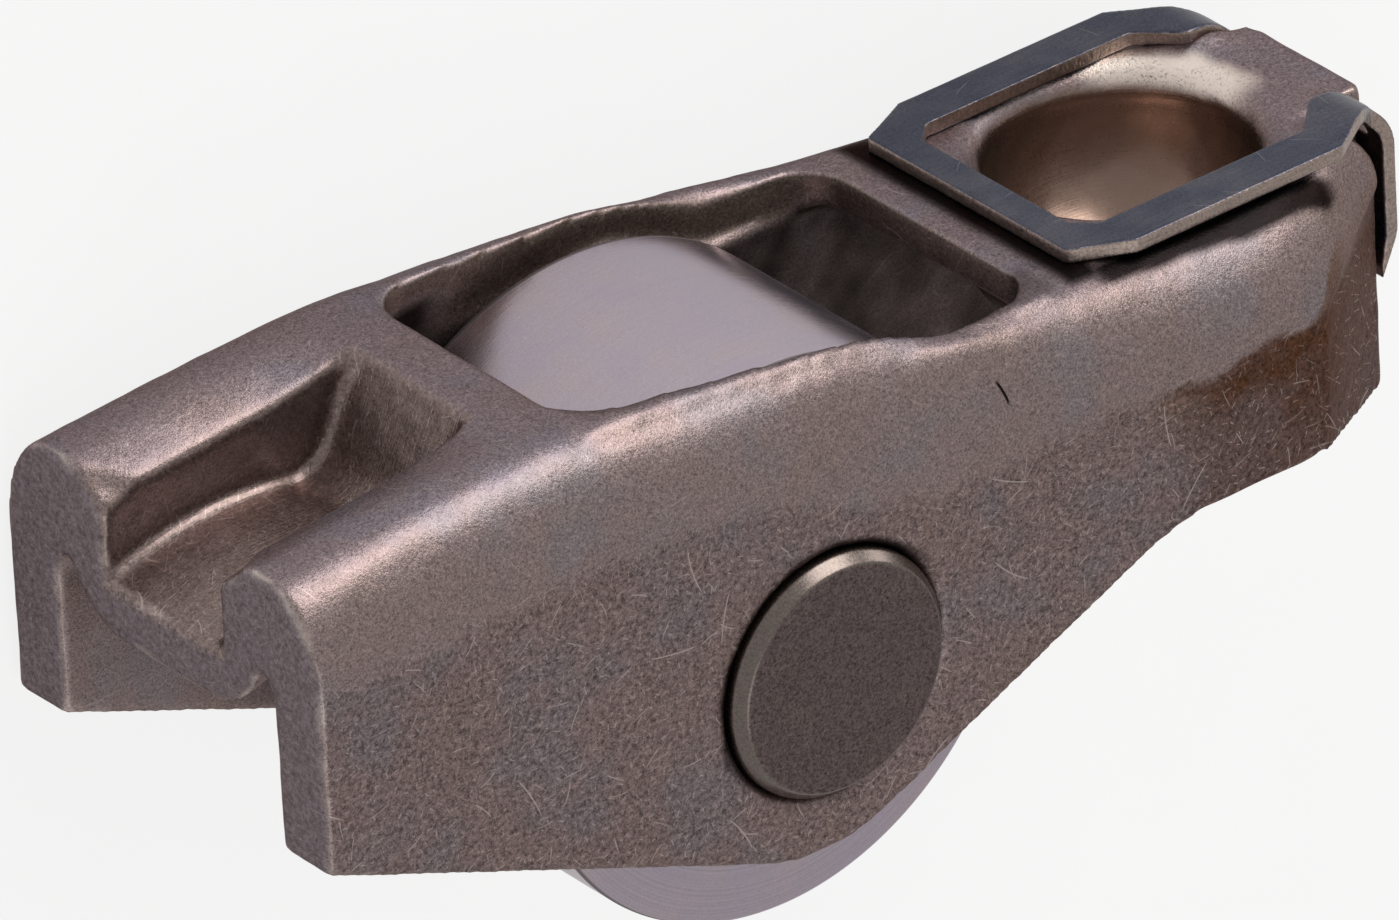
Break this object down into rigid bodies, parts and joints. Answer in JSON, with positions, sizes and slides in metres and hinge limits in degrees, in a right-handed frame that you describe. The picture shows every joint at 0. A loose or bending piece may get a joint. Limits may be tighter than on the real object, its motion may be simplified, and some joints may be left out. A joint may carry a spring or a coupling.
{
  "type": "rocker arm",
  "caption": "Formed sheet-steel roller finger follower: roller on needle bearing, valve pad slot at one end, ball socket with sprung retaining clip at the other.",
  "frame": {"origin": "middle of the axle, on the arm's middle plane", "axes": "+X along the arm from the valve end to the ball socket, +Y towards the side with the valve pad and the socket mouth, +Z along the axle; the arm lies on its side, on the axle's lower end"},
  "size_m": [0.0498, 0.0223, 0.0176],
  "materials": {
    "arm_steel": "tumbled and heat-treated sheet steel, pewter grey",
    "axle_steel": "hardened steel, matt dark end faces",
    "roller_steel": "ground bearing steel with fine lines round the tread",
    "clip_steel": "blue-grey tempered spring steel",
    "needle_steel": "polished bearing steel"
  },
  "bodies": {
    "arm_body": {"arm": "arm_steel", "axle": "axle_steel", "retaining_clip": "clip_steel"},
    "roller_body": {"roller": "roller_steel"},
    "needle_set": {"needle_01": "needle_steel", "needle_02": "needle_steel", "needle_03": "needle_steel", "needle_04": "needle_steel", "needle_05": "needle_steel", "needle_06": "needle_steel", "needle_07": "needle_steel", "needle_08": "needle_steel", "needle_09": "needle_steel", "needle_10": "needle_steel", "needle_11": "needle_steel", "needle_12": "needle_steel", "needle_13": "needle_steel", "needle_14": "needle_steel", "needle_15": "needle_steel", "needle_16": "needle_steel", "needle_17": "needle_steel", "needle_18": "needle_steel", "needle_19": "needle_steel", "needle_20": "needle_steel"}
  },
  "joints": [
    {"name": "roller_spin", "type": "hinge", "parent": "arm_body", "child": "roller_body", "pos_m": [0, 0, 0], "axis": [0, 0, 1], "continuous": true},
    {"name": "needle_travel", "type": "hinge", "parent": "arm_body", "child": "needle_set", "pos_m": [0, 0, 0], "axis": [0, 0, 1], "continuous": true}
  ],
  "couplings": [
    {"joint": "needle_travel", "follows": "roller_spin", "ratio": 0.579}
  ]
}
